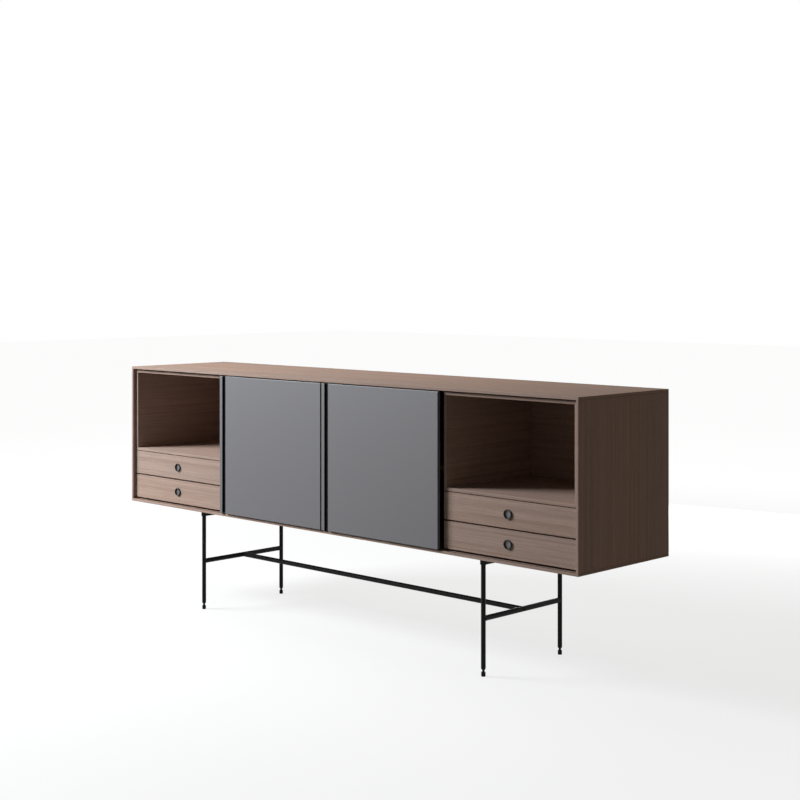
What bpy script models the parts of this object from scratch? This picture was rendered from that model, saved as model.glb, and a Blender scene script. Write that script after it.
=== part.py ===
"""A long, low storage cabinet on a steel-rod base.

A thin wooden shell holds an open niche over two drawers at each end. Two sliding doors close the middle
and slide outwards, in front of the end units. The origin is on the floor under the middle of the cabinet,
with +X to the right, +Z up and the doors facing -Y.
"""

import math

import bmesh
import bpy
from mathutils import Matrix, Vector

# Overall size
WIDTH = 2.015
DEPTH = 0.450
BASE_HEIGHT = 0.350
BODY_HEIGHT = 0.496

# Clearances between pieces that touch, and the small rounding of their edges
GAP = 0.0003
ARRIS = 0.0008
FINE_ARRIS = 0.0005

# Shell
SHELL_T = 0.0085
BACK_INSET = 0.022
BACK_T = 0.008

# End units
UNIT_T = 0.0095
UNIT_RECESS = 0.0125
SIDE_REVEAL = 0.0035
TOP_REVEAL = 0.0035
REVEAL_DEPTH = 0.025

# Sliding doors and their tracks
DOOR_WIDTH = 0.4965
DOOR_T = 0.012
DOOR_PROUD = 0.008
DOOR_GAP = 0.006
DOOR_TO_UNIT = 0.008
DOOR_CLEAR = 0.003
LIP_WIDTH = 0.013
GRIP_WIDTH = 0.0175
GRIP_BACK_T = 0.0035
CHANNEL_WALL = 0.001
TRACK_WIDTH = 0.005
TRACK_DEPTH = 0.005
TRACK_WALL = 0.0008
TONGUE_CLEAR = 0.0004
TONGUE_TOP_PLAY = 0.001
GLIDE_LENGTH = 0.030
GLIDE_HEIGHT = 0.014
GLIDE_T = 0.004
GLIDE_INSET = 0.060

# Middle compartments
DIVIDER_T = 0.016
MIDDLE_SETBACK = 0.010
SHELF_T = 0.012
SHELF_HEIGHT = 0.235
SHELF_SETBACK = 0.020
SHELF_SUNK = 0.0035

# Drawers and their rails
DRAWER_FOOT_GAP = 0.0066
DRAWER_FRONT_HEIGHT = 0.0826
DRAWER_GAP = 0.0046
DRAWER_HEAD_GAP = 0.0026
DRAWER_FRONT_T = 0.016
BOX_WALL = 0.012
BOX_RISE = 0.0055
BOX_HEAD_CLEAR = 0.0115
BOX_SIDE_CLEAR = 0.003
BOX_BACK_CLEAR = 0.031
BASE_T = 0.005
BASE_RISE = 0.008
BASE_SUNK = 0.005
RAIL_HEIGHT = 0.008
RAIL_ROOT = 0.002
RAIL_SUNK = 0.006
RAIL_PLAY = 0.0007
RAIL_FRONT = 0.006
RAIL_BACK = 0.010

# Ring pulls
RING_RADIUS = 0.0137
RING_PROUD = 0.0047
RING_EDGE = 0.0004
MOUTH_RADIUS = 0.0123
CUP_DEPTH = 0.0053
BARREL_RADIUS = 0.0129
BARREL_SUNK = 0.006

# Base
LEG_END_INSET = 0.3693
LEG_FRONT_INSET = 0.0384
ROD_RADIUS = 0.006
CROSSBAR_RADIUS = 0.0059
CROSSBAR_Z = 0.1705
RAIL_BAR_HEIGHT = 0.020
LEG_END_Z = 0.0205
LEG_TAPER = 0.0035
LEG_END_RADIUS = 0.0045
STUD_RADIUS = 0.003
STUD_SUNK = 0.014
FOOT_RADIUS = 0.0066
FOOT_HEIGHT = 0.0145
FOOT_SHOULDER = 0.0028
FOOT_EDGE = 0.0012
SCREW_INSET = 0.045
SCREW_RADIUS = 0.0018
SCREW_HEAD_RADIUS = 0.0040
SCREW_HEAD_HEIGHT = 0.0024
SCREW_BITE = 0.0065
BOLT_RADIUS = 0.0025
BOLT_HEAD_RADIUS = 0.0045
BOLT_HEAD_HEIGHT = 0.0028
BOLT_REACH = 0.016

# Roundness
ROD_STEPS = 24
RING_STEPS = 32
SMALL_STEPS = 16
SHOULDER_STEPS = 4

# Levels and planes that follow from the sizes above
SHELL_Y = DOOR_PROUD / 2
FRONT_Y = SHELL_Y - DEPTH / 2
REAR_Y = SHELL_Y + DEPTH / 2
SHELL_X = WIDTH / 2 - SHELL_T
BODY_TOP = BASE_HEIGHT + BODY_HEIGHT
FLOOR_Z = BASE_HEIGHT + SHELL_T
CEILING_Z = BODY_TOP - SHELL_T
BACK_Y = REAR_Y - BACK_INSET - BACK_T
UNIT_FRONT_Y = FRONT_Y + UNIT_RECESS
UNIT_BACK_Y = BACK_Y - GAP
UNIT_NEAR_X = DOOR_GAP / 2 + DOOR_WIDTH + DOOR_TO_UNIT
UNIT_FAR_X = SHELL_X - SIDE_REVEAL
UNIT_MIDDLE_X = (UNIT_NEAR_X + UNIT_FAR_X) / 2
DRAWER_PITCH = DRAWER_FRONT_HEIGHT + DRAWER_GAP
LOW_DRAWER_Z = FLOOR_Z + DRAWER_FOOT_GAP
NICHE_FLOOR_Z = LOW_DRAWER_Z + DRAWER_PITCH + DRAWER_FRONT_HEIGHT + DRAWER_HEAD_GAP
NICHE_TOP_Z = CEILING_Z - TOP_REVEAL - UNIT_T
DRAWER_BACK_Y = UNIT_FRONT_Y + DRAWER_FRONT_T
BOX_HEIGHT = DRAWER_FRONT_HEIGHT - BOX_RISE - BOX_HEAD_CLEAR
DOOR_FRONT_Y = FRONT_Y - DOOR_PROUD
DOOR_BACK_Y = DOOR_FRONT_Y + DOOR_T
GRIP_DEPTH = DOOR_T - GRIP_BACK_T
TRACK_Y = DOOR_BACK_Y + GAP + GLIDE_T / 2
FRAME_TOP_Z = BASE_HEIGHT - GAP
RAIL_BAR_Z = FRAME_TOP_Z - RAIL_BAR_HEIGHT
LEG_X = WIDTH / 2 - LEG_END_INSET
LEG_REACH = DEPTH / 2 - LEG_FRONT_INSET
SCREW_REACH = LEG_REACH - SCREW_INSET

ENDS = {"front": -1, "back": 1}

SIDES = {"left": -1, "right": 1}

# sRGB colour, roughness and metallic value of each finish
FINISHES = {
    "veneer": ((172, 150, 134), 0.55, 0.0),
    "lacquer": ((126, 125, 130), 0.5, 0.0),
    "black_steel": ((22, 22, 24), 0.45, 0.6),
    "black_aluminium": ((18, 18, 20), 0.4, 0.7),
    "burnished": ((52, 52, 56), 0.35, 0.8),
    "bright_steel": ((168, 168, 170), 0.35, 1.0),
    "nylon": ((36, 36, 38), 0.6, 0.0),
    "plywood": ((196, 170, 136), 0.65, 0.0),
}

model = bpy.data.collections.new("storage_cabinet")
guides = bpy.data.collections.new("cutters")


def clear_scene():
    for old in list(bpy.data.objects):
        bpy.data.objects.remove(old, do_unlink=True)
    for group in (model, guides):
        bpy.context.scene.collection.children.link(group)


def linear(channel):
    """One 8-bit sRGB channel as a linear value."""
    share = channel / 255
    return share / 12.92 if share <= 0.04045 else ((share + 0.055) / 1.055) ** 2.4


def paint(piece, finish):
    """Gives the piece its own Principled material."""
    colour, roughness, metallic = FINISHES[finish]
    material = bpy.data.materials.new(piece.name + "_" + finish)
    material.use_nodes = True
    shader = material.node_tree.nodes["Principled BSDF"]
    shader.inputs["Base Color"].default_value = (*map(linear, colour), 1.0)
    shader.inputs["Roughness"].default_value = roughness
    shader.inputs["Metallic"].default_value = metallic
    piece.data.materials.append(material)


def carrier(name, place, parent=None):
    """An empty that carries the pieces that move together."""
    empty = bpy.data.objects.new(name, None)
    empty.location = place
    empty.empty_display_size = 0.05
    model.objects.link(empty)
    if parent:
        attach(empty, parent)
    return empty


def attach(thing, parent):
    """Parents an object without moving it."""
    bpy.context.view_layer.update()
    thing.parent = parent
    thing.matrix_parent_inverse = parent.matrix_world.inverted()


def new_object(name, data, place, parent, finish):
    """Links a piece with its finish, or a cutter where there is no finish."""
    thing = bpy.data.objects.new(name, data)
    thing.location = place
    if finish is None:
        thing.hide_render = True
        thing.display_type = "WIRE"
        guides.objects.link(thing)
    else:
        paint(thing, finish)
        model.objects.link(thing)
    attach(thing, parent)
    return thing


def solid(name, x, y, z, parent, finish=None, arris=0.0):
    """A box between two planes on each axis, with slightly rounded edges."""
    spans = [sorted(span) for span in (x, y, z)]
    size = Vector([high - low for low, high in spans])
    middle = Vector([(high + low) / 2 for low, high in spans])
    shape = bmesh.new()
    bmesh.ops.create_cube(shape, size=1.0, matrix=Matrix.Diagonal((*size, 1.0)))
    mesh = bpy.data.meshes.new(name)
    shape.to_mesh(mesh)
    shape.free()
    box = new_object(name, mesh, middle, parent, finish)
    if arris:
        round_edges(box, arris)
    return box


def round_edges(piece, width):
    bevel = piece.modifiers.new("arris", "BEVEL")
    bevel.width = width
    bevel.segments = 2
    bevel.limit_method = "ANGLE"
    bevel.harden_normals = False


def cylinder(name, radius, length, axis, middle, parent, finish=None, steps=SMALL_STEPS):
    """A closed cylinder along the X, Y or Z axis, with its flats across the other axes."""
    quarter = math.pi / 2
    turn = {"X": Matrix.Rotation(quarter, 4, "Y"), "Y": Matrix.Rotation(quarter, 4, "X"), "Z": Matrix()}
    half_step = Matrix.Rotation(math.pi / steps, 4, "Z")
    shape = bmesh.new()
    bmesh.ops.create_cone(
        shape, cap_ends=True, segments=steps, radius1=radius, radius2=radius, depth=length,
        matrix=turn[axis] @ half_step,
    )
    mesh = bpy.data.meshes.new(name)
    shape.to_mesh(mesh)
    shape.free()
    mesh.shade_smooth()
    mesh.set_sharp_from_angle(angle=math.radians(40))
    return new_object(name, mesh, middle, parent, finish)


def turned(name, profile, place, parent, finish, steps, rotation=(0.0, 0.0, 0.0)):
    """A solid of revolution: (radius, height) points from the top of the axis round to its bottom."""
    shape = bmesh.new()
    points = [shape.verts.new((radius, 0.0, height)) for radius, height in profile]
    for upper, lower in zip(points, points[1:]):
        shape.edges.new((upper, lower))
    mesh = bpy.data.meshes.new(name)
    shape.to_mesh(mesh)
    shape.free()
    piece = new_object(name, mesh, place, parent, finish)
    piece.rotation_euler = rotation
    screw = piece.modifiers.new("turn", "SCREW")
    screw.axis = "Z"
    screw.steps = screw.render_steps = steps
    screw.use_merge_vertices = True
    screw.merge_threshold = 0.00002
    screw.use_smooth_shade = True
    return piece


def extrusion(name, outline, length, place, parent, finish=None, along_x=False):
    """A bar with the outline as its section: (x, y) points along Z, or (y, z) points along X."""
    curve = bpy.data.curves.new(name, "CURVE")
    curve.dimensions = "2D"
    curve.fill_mode = "BOTH"
    curve.extrude = length / 2
    spline = curve.splines.new("POLY")
    spline.points.add(len(outline) - 1)
    for point, (across, up) in zip(spline.points, outline):
        point.co = (across, up, 0.0, 1.0)
    spline.use_cyclic_u = True
    bar = new_object(name, curve, place, parent, finish)
    if along_x:
        bar.rotation_euler = (math.pi / 2, 0.0, math.pi / 2)
    return bar


def double(tool, offset):
    """Adds a copy of a tool at an offset from it."""
    row = tool.modifiers.new("pair", "ARRAY")
    row.count = 2
    row.use_relative_offset = False
    row.use_constant_offset = True
    row.constant_offset_displace = offset
    row.use_merge_vertices = False


def reflect(tool, axis, about):
    """Adds the mirror image of a tool that doesn't meet the mirror plane."""
    mirror = tool.modifiers.new("other_side", "MIRROR")
    mirror.use_axis = [letter == axis for letter in "XYZ"]
    mirror.mirror_object = about
    mirror.use_mirror_merge = False


def combine(piece, tool, operation):
    boolean = piece.modifiers.new(operation.lower(), "BOOLEAN")
    boolean.operation = operation
    boolean.solver = "EXACT"
    boolean.object = tool


def cut(piece, *tools):
    for tool in tools:
        combine(piece, tool, "DIFFERENCE")


def channel_outline(width, depth, wall, opening):
    """A U section, opening = 1 towards the second axis and -1 away from it. Its middle is its mouth."""
    half = width / 2
    slot = half - wall
    outer_floor = -depth * opening
    inner_floor = (wall - depth) * opening
    return [
        (-half, 0.0), (-half, outer_floor), (half, outer_floor), (half, 0.0),
        (slot, 0.0), (slot, inner_floor), (-slot, inner_floor), (-slot, 0.0),
    ]


def build_shell(cabinet):
    full = (-WIDTH / 2, WIDTH / 2)
    inside = (-SHELL_X + GAP, SHELL_X - GAP)
    depth = (FRONT_Y, REAR_Y)
    between = (FLOOR_Z + GAP, CEILING_Z - GAP)
    top = solid("top_panel", full, depth, (CEILING_Z, BODY_TOP), cabinet, "veneer", ARRIS)
    bottom = solid("bottom_panel", full, depth, (BASE_HEIGHT, FLOOR_Z), cabinet, "veneer", ARRIS)
    for name, side in SIDES.items():
        wall = (side * SHELL_X, side * WIDTH / 2)
        solid(f"{name}_side_panel", wall, depth, between, cabinet, "veneer", ARRIS)
    solid("back_panel", inside, (BACK_Y, BACK_Y + BACK_T), between, cabinet, "veneer", FINE_ARRIS)

    slot_y = (TRACK_Y - TRACK_WIDTH / 2 - GAP, TRACK_Y + TRACK_WIDTH / 2 + GAP)
    for panel, face, into in ((top, CEILING_Z, 1), (bottom, FLOOR_Z, -1)):
        where = panel.name.split("_")[0]
        slot_z = (face - into * SHELL_T, face + into * (TRACK_DEPTH + GAP))
        cut(panel, solid(f"{where}_track_groove", inside, slot_y, slot_z, cabinet))
        outline = channel_outline(TRACK_WIDTH, TRACK_DEPTH, TRACK_WALL, -into)
        place = (0.0, TRACK_Y, face)
        length = inside[1] - inside[0] - 2 * GAP
        extrusion(f"door_{where}_track", outline, length, place, cabinet, "black_aluminium", along_x=True)
    return bottom


def build_end_unit(name, side, cabinet):
    """The niche frame, set back from the shell's front, its floor and the rails glued to it."""
    depth = (UNIT_FRONT_Y, UNIT_BACK_Y)
    near = (side * UNIT_NEAR_X, side * (UNIT_NEAR_X + UNIT_T))
    far = (side * (UNIT_FAR_X - UNIT_T), side * (SHELL_X - GAP))
    upright = (FLOOR_Z + GAP, NICHE_TOP_Z - GAP)
    top_z = (NICHE_TOP_Z, CEILING_Z - GAP)
    top = solid(f"{name}_unit_top", (near[0], far[1]), depth, top_z, cabinet, "veneer", FINE_ARRIS)
    inner = solid(f"{name}_unit_inner_wall", near, depth, upright, cabinet, "veneer", FINE_ARRIS)
    outer = solid(f"{name}_unit_outer_wall", far, depth, upright, cabinet, "veneer", FINE_ARRIS)

    before = FRONT_Y - DEPTH
    reveal_y = (before, UNIT_FRONT_Y + REVEAL_DEPTH)
    beyond = side * WIDTH
    side_reveal = solid(
        f"{name}_side_reveal", (side * UNIT_FAR_X, beyond), reveal_y, (0.0, 2 * BODY_TOP), cabinet
    )
    top_reveal = solid(
        f"{name}_top_reveal", (0.0, beyond), reveal_y, (NICHE_TOP_Z + UNIT_T, 2 * BODY_TOP), cabinet
    )
    drawer_step = solid(
        f"{name}_drawer_step", (0.0, beyond), (before, DRAWER_BACK_Y + GAP), (0.0, NICHE_FLOOR_Z), cabinet
    )
    cut(top, top_reveal, side_reveal)
    cut(outer, side_reveal, drawer_step)
    cut(inner, drawer_step)
    rail_y = (DRAWER_BACK_Y + RAIL_FRONT, UNIT_BACK_Y - RAIL_BACK)
    rail_z = rail_bottom(LOW_DRAWER_Z)
    rail_reach = BOX_SIDE_CLEAR + RAIL_SUNK - GAP
    for wall, face, inward in ((inner, UNIT_NEAR_X + UNIT_T, 1), (outer, UNIT_FAR_X - UNIT_T, -1)):
        rail_x = (side * (face - inward * RAIL_ROOT), side * (face + inward * rail_reach))
        rails = solid(f"{wall.name}_rails", rail_x, rail_y, (rail_z, rail_z + RAIL_HEIGHT), cabinet)
        double(rails, (0.0, 0.0, DRAWER_PITCH))
        combine(wall, rails, "UNION")

    between = (side * (UNIT_NEAR_X + UNIT_T + GAP), side * (UNIT_FAR_X - UNIT_T - GAP))
    shelf_z = (NICHE_FLOOR_Z, NICHE_FLOOR_Z + UNIT_T)
    solid(f"{name}_niche_floor", between, depth, shelf_z, cabinet, "veneer", FINE_ARRIS)
    return inner


def box_bottom(front_bottom):
    return front_bottom + BOX_RISE


def rail_bottom(front_bottom):
    """The rail runs at the middle of the drawer box's height."""
    return box_bottom(front_bottom) + (BOX_HEIGHT - RAIL_HEIGHT) / 2


def build_drawer(name, side, front_bottom, cabinet):
    middle_x = side * UNIT_MIDDLE_X
    middle_z = front_bottom + DRAWER_FRONT_HEIGHT / 2
    drawer = carrier(f"{name}_drawer", (middle_x, UNIT_FRONT_Y, middle_z), cabinet)
    front = solid(
        f"{name}_drawer_front", (side * UNIT_NEAR_X, side * UNIT_FAR_X), (UNIT_FRONT_Y, DRAWER_BACK_Y),
        (front_bottom, front_bottom + DRAWER_FRONT_HEIGHT), drawer, "veneer", ARRIS,
    )
    ring_hole = cylinder(
        f"{name}_ring_hole", BARREL_RADIUS + GAP, 2 * (BARREL_SUNK + GAP), "Y",
        (middle_x, UNIT_FRONT_Y, middle_z), drawer, steps=RING_STEPS,
    )
    cut(front, ring_hole)
    build_ring_pull(f"{name}_ring_pull", (middle_x, UNIT_FRONT_Y, middle_z), drawer)

    box_half = UNIT_MIDDLE_X - UNIT_NEAR_X - UNIT_T - BOX_SIDE_CLEAR
    low = box_bottom(front_bottom)
    box_x = (middle_x - box_half, middle_x + box_half)
    box_y = (DRAWER_BACK_Y + GAP, UNIT_BACK_Y - BOX_BACK_CLEAR)
    box = solid(f"{name}_drawer_box", box_x, box_y, (low, low + BOX_HEIGHT), drawer, "plywood", FINE_ARRIS)
    inside_x = (box_x[0] + BOX_WALL, box_x[1] - BOX_WALL)
    inside_y = (box_y[0] + BOX_WALL, box_y[1] - BOX_WALL)
    hollow = solid(f"{name}_drawer_hollow", inside_x, inside_y, (0.0, BODY_TOP), drawer)

    base_z = low + BASE_RISE
    housing = BASE_SUNK + GAP
    housing_x = (inside_x[0] - housing, inside_x[1] + housing)
    housing_y = (inside_y[0] - housing, inside_y[1] + housing)
    base_housing = solid(
        f"{name}_base_housing", housing_x, housing_y, (base_z - GAP, base_z + BASE_T + GAP), drawer
    )
    base_x = (housing_x[0] + GAP, housing_x[1] - GAP)
    base_y = (housing_y[0] + GAP, housing_y[1] - GAP)
    solid(f"{name}_drawer_base", base_x, base_y, (base_z, base_z + BASE_T), drawer, "plywood")

    rail_z = rail_bottom(front_bottom)
    groove_x = (box_x[0] - RAIL_SUNK, box_x[0] + RAIL_SUNK + GAP)
    groove_y = (box_y[0] - DEPTH, box_y[1] + DEPTH)
    groove_z = (rail_z - RAIL_PLAY, rail_z + RAIL_HEIGHT + GAP)
    groove = solid(f"{name}_rail_groove", groove_x, groove_y, groove_z, drawer)
    double(groove, (2 * box_half - GAP, 0.0, 0.0))
    cut(box, hollow, base_housing, groove)


def build_ring_pull(name, place, drawer):
    """A turned ring with a shallow dish, proud enough to grip, on a barrel let into the drawer front."""
    flange_back = GAP
    rim = flange_back + RING_PROUD
    dish = rim - CUP_DEPTH
    profile = [
        (0.0, dish),
        (MOUTH_RADIUS, dish),
        (MOUTH_RADIUS, rim - RING_EDGE),
        (MOUTH_RADIUS + RING_EDGE, rim),
        (RING_RADIUS - RING_EDGE, rim),
        (RING_RADIUS, rim - RING_EDGE),
        (RING_RADIUS, flange_back),
        (BARREL_RADIUS, flange_back),
        (BARREL_RADIUS, -BARREL_SUNK),
        (0.0, -BARREL_SUNK),
    ]
    turned(name, profile, place, drawer, "burnished", RING_STEPS, rotation=(math.pi / 2, 0.0, 0.0))


def build_middle(cabinet, inner_walls):
    """The divider and a shelf in each compartment, let into grooves of the divider and of the end unit."""
    front = UNIT_FRONT_Y + MIDDLE_SETBACK
    divider = solid(
        "centre_divider", (-DIVIDER_T / 2, DIVIDER_T / 2), (front, UNIT_BACK_Y),
        (FLOOR_Z + GAP, CEILING_Z - GAP), cabinet, "veneer", FINE_ARRIS,
    )
    near = DIVIDER_T / 2 - SHELF_SUNK
    far = UNIT_NEAR_X + SHELF_SUNK
    shelf_y = (front + SHELF_SETBACK, UNIT_BACK_Y - GAP)
    shelf_z = (FLOOR_Z + SHELF_HEIGHT, FLOOR_Z + SHELF_HEIGHT + SHELF_T)
    for name, side in SIDES.items():
        solid(f"{name}_shelf", (side * near, side * far), shelf_y, shelf_z, cabinet, "veneer", FINE_ARRIS)
        housing = solid(
            f"{name}_shelf_housing", (side * (near - GAP), side * (far + GAP)),
            (shelf_y[0] - GAP, REAR_Y), (shelf_z[0] - GAP, shelf_z[1] + GAP), cabinet,
        )
        cut(divider, housing)
        cut(inner_walls[name], housing)


def glide_section(direction, play):
    """A plate on the door's back, with a tongue in the track: direction = 1 for the upper ones."""
    tongue = TRACK_WIDTH / 2 - TRACK_WALL - TONGUE_CLEAR
    tip = DOOR_CLEAR + TRACK_DEPTH - TRACK_WALL - GAP - play
    half = GLIDE_T / 2
    points = [
        (-half, -GLIDE_HEIGHT), (-half, 0.0), (-tongue, 0.0), (-tongue, tip),
        (tongue, tip), (tongue, 0.0), (half, 0.0), (half, -GLIDE_HEIGHT),
    ]
    return [(across, direction * up) for across, up in points]


def build_door(name, side, cabinet):
    """A grooved panel, the grip channel in its groove, and glides that run in the two tracks."""
    closed_x = DOOR_GAP / 2 if side > 0 else -DOOR_GAP / 2 - DOOR_WIDTH
    door_z = (FLOOR_Z + DOOR_CLEAR, CEILING_Z - DOOR_CLEAR)
    middle_z = sum(door_z) / 2
    door = carrier(f"{name}_door", (closed_x + DOOR_WIDTH / 2, DOOR_BACK_Y, middle_z), cabinet)
    panel = solid(
        f"{name}_door_panel", (closed_x, closed_x + DOOR_WIDTH), (DOOR_FRONT_Y, DOOR_BACK_Y), door_z,
        door, "lacquer", ARRIS,
    )
    grip_x = closed_x + LIP_WIDTH
    grip_y = (DOOR_FRONT_Y - DOOR_T, DOOR_FRONT_Y + GRIP_DEPTH)
    groove = solid(f"{name}_grip_groove", (grip_x, grip_x + GRIP_WIDTH), grip_y, (0.0, 2 * BODY_TOP), door)
    outline = channel_outline(GRIP_WIDTH - 2 * GAP, GRIP_DEPTH - GAP, CHANNEL_WALL, -1)
    place = (grip_x + GRIP_WIDTH / 2, DOOR_FRONT_Y, middle_z)
    extrusion(f"{name}_door_grip", outline, door_z[1] - door_z[0], place, door, "black_aluminium")

    glide_xs = (closed_x + GLIDE_INSET, closed_x + DOOR_WIDTH - GLIDE_INSET)
    levels = (("lower", -1, door_z[0], 0.0), ("upper", 1, door_z[1], TONGUE_TOP_PLAY))
    for level, direction, edge, play in levels:
        for number, x in enumerate(glide_xs, 1):
            extrusion(
                f"{name}_door_{level}_glide_{number}", glide_section(direction, play), GLIDE_LENGTH,
                (x, TRACK_Y, edge), door, "nylon", along_x=True,
            )
    cut(panel, groove)


def build_leg_frame(name, side, cabinet, screw_holes):
    """Two legs, a crossbar and a flat top rail, welded into one frame."""
    x = side * LEG_X
    leg_top = RAIL_BAR_Z + RAIL_BAR_HEIGHT / 2
    half_bar = LEG_REACH + ROD_RADIUS
    frame = solid(
        f"{name}_leg_frame", (x - ROD_RADIUS, x + ROD_RADIUS), (SHELL_Y - half_bar, SHELL_Y + half_bar),
        (RAIL_BAR_Z, FRAME_TOP_Z), cabinet, "black_steel", ARRIS,
    )
    profile = [
        (0.0, leg_top),
        (ROD_RADIUS, leg_top),
        (ROD_RADIUS, LEG_END_Z + LEG_TAPER),
        (LEG_END_RADIUS, LEG_END_Z),
        (STUD_RADIUS + GAP, LEG_END_Z),
        (STUD_RADIUS + GAP, LEG_END_Z + STUD_SUNK + GAP),
        (0.0, LEG_END_Z + STUD_SUNK + GAP),
    ]
    half_step = (0.0, 0.0, math.pi / ROD_STEPS)
    for end, way in ENDS.items():
        place = (x, SHELL_Y + way * LEG_REACH, 0.0)
        leg = turned(f"{name}_{end}_leg", profile, place, cabinet, None, ROD_STEPS, rotation=half_step)
        combine(frame, leg, "UNION")
    middle = (x, SHELL_Y, CROSSBAR_Z)
    crossbar = cylinder(
        f"{name}_crossbar", CROSSBAR_RADIUS, 2 * LEG_REACH, "Y", middle, cabinet, steps=ROD_STEPS
    )
    combine(frame, crossbar, "UNION")
    bolt_hole = cylinder(f"{name}_bolt_hole", BOLT_RADIUS + GAP, 4 * ROD_RADIUS, "X", middle, cabinet)
    cut(frame, bolt_hole, screw_holes)


def build_foot(name, x, y, cabinet):
    """A levelling foot: a turned pad on a threaded stud that goes up into the leg."""
    foot = carrier(f"{name}_foot", (x, y, 0.0), cabinet)
    stud_top = LEG_END_Z + STUD_SUNK
    shoulder = [
        (
            FOOT_RADIUS - FOOT_SHOULDER * (1 - math.sin(turn)),
            FOOT_HEIGHT - FOOT_SHOULDER * (1 - math.cos(turn)),
        )
        for turn in (math.pi / 2 * step / SHOULDER_STEPS for step in range(SHOULDER_STEPS + 1))
    ]
    profile = [
        (0.0, stud_top),
        (STUD_RADIUS, stud_top),
        (STUD_RADIUS, FOOT_HEIGHT),
        *shoulder,
        (FOOT_RADIUS, FOOT_EDGE),
        (FOOT_RADIUS - FOOT_EDGE, 0.0),
        (0.0, 0.0),
    ]
    turned(f"{name}_levelling_foot", profile, (x, y, 0.0), foot, "black_steel", ROD_STEPS)


def screw_profile(grown, below):
    """A countersunk wood screw, head down, or its hole where it is grown by a clearance."""
    tip = BASE_HEIGHT + SCREW_BITE + grown
    return [
        (0.0, tip),
        (SCREW_RADIUS + grown, tip - SCREW_RADIUS),
        (SCREW_RADIUS + grown, RAIL_BAR_Z + SCREW_HEAD_HEIGHT + grown),
        (SCREW_HEAD_RADIUS + grown, RAIL_BAR_Z + grown),
        (SCREW_HEAD_RADIUS + grown, RAIL_BAR_Z - below),
        (0.0, RAIL_BAR_Z - below),
    ]


def build_stretcher(cabinet):
    """A rod between the two crossbars, coped to fit them and held by a bolt through each."""
    end_x = LEG_X - CROSSBAR_RADIUS / 3
    stretcher = cylinder(
        "long_stretcher", CROSSBAR_RADIUS, 2 * end_x, "X", (0.0, SHELL_Y, CROSSBAR_Z), cabinet, "black_steel",
        steps=ROD_STEPS,
    )
    cope = cylinder(
        "stretcher_cope", CROSSBAR_RADIUS + GAP, 4 * ROD_RADIUS, "Y", (LEG_X, SHELL_Y, CROSSBAR_Z), cabinet,
        steps=ROD_STEPS,
    )
    bore_length = BOLT_REACH + GAP
    bore = cylinder(
        "stretcher_bore", BOLT_RADIUS + GAP, 2 * bore_length, "X", (LEG_X, SHELL_Y, CROSSBAR_Z), cabinet
    )
    for tool in (cope, bore):
        reflect(tool, "X", cabinet)
        cut(stretcher, tool)

    seat = CROSSBAR_RADIUS + GAP
    head = BOLT_HEAD_HEIGHT / 3
    profile = [
        (0.0, seat + BOLT_HEAD_HEIGHT),
        (BOLT_HEAD_RADIUS - head, seat + BOLT_HEAD_HEIGHT),
        (BOLT_HEAD_RADIUS, seat + BOLT_HEAD_HEIGHT - head),
        (BOLT_HEAD_RADIUS, seat),
        (BOLT_RADIUS, seat),
        (BOLT_RADIUS, -BOLT_REACH),
        (0.0, -BOLT_REACH),
    ]
    for name, side in SIDES.items():
        turned(
            f"{name}_stretcher_bolt", profile, (side * LEG_X, SHELL_Y, CROSSBAR_Z), cabinet, "black_steel",
            SMALL_STEPS, rotation=(0.0, side * math.pi / 2, 0.0),
        )


def build_base(cabinet, bottom_panel):
    """The leg frames with their feet and screws, and the stretcher between them."""
    first_hole = (-LEG_X, SHELL_Y - SCREW_REACH, 0.0)
    screw_holes = turned(
        "screw_holes", screw_profile(GAP, RAIL_BAR_HEIGHT), first_hole, cabinet, None, SMALL_STEPS
    )
    double(screw_holes, (0.0, 2 * SCREW_REACH, 0.0))
    double(screw_holes, (2 * LEG_X, 0.0, 0.0))
    cut(bottom_panel, screw_holes)
    for name, side in SIDES.items():
        build_leg_frame(name, side, cabinet, screw_holes)
        for end, way in ENDS.items():
            x = side * LEG_X
            build_foot(f"{end}_{name}", x, SHELL_Y + way * LEG_REACH, cabinet)
            turned(
                f"{end}_{name}_frame_screw", screw_profile(0.0, 0.0), (x, SHELL_Y + way * SCREW_REACH, 0.0),
                cabinet, "bright_steel", SMALL_STEPS,
            )
    build_stretcher(cabinet)


def main():
    clear_scene()
    cabinet = carrier("cabinet", (0.0, 0.0, 0.0))
    bottom_panel = build_shell(cabinet)
    inner_walls = {name: build_end_unit(name, side, cabinet) for name, side in SIDES.items()}
    build_middle(cabinet, inner_walls)
    for name, side in SIDES.items():
        build_door(name, side, cabinet)
        for row, front_bottom in (("lower", LOW_DRAWER_Z), ("upper", LOW_DRAWER_Z + DRAWER_PITCH)):
            build_drawer(f"{name}_{row}", side, front_bottom, cabinet)
    build_base(cabinet, bottom_panel)


main()
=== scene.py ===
"""Looks of the long storage cabinet: veneer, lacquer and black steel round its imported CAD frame."""

import math

import bmesh
import bpy
from mathutils import Matrix, Vector


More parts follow.
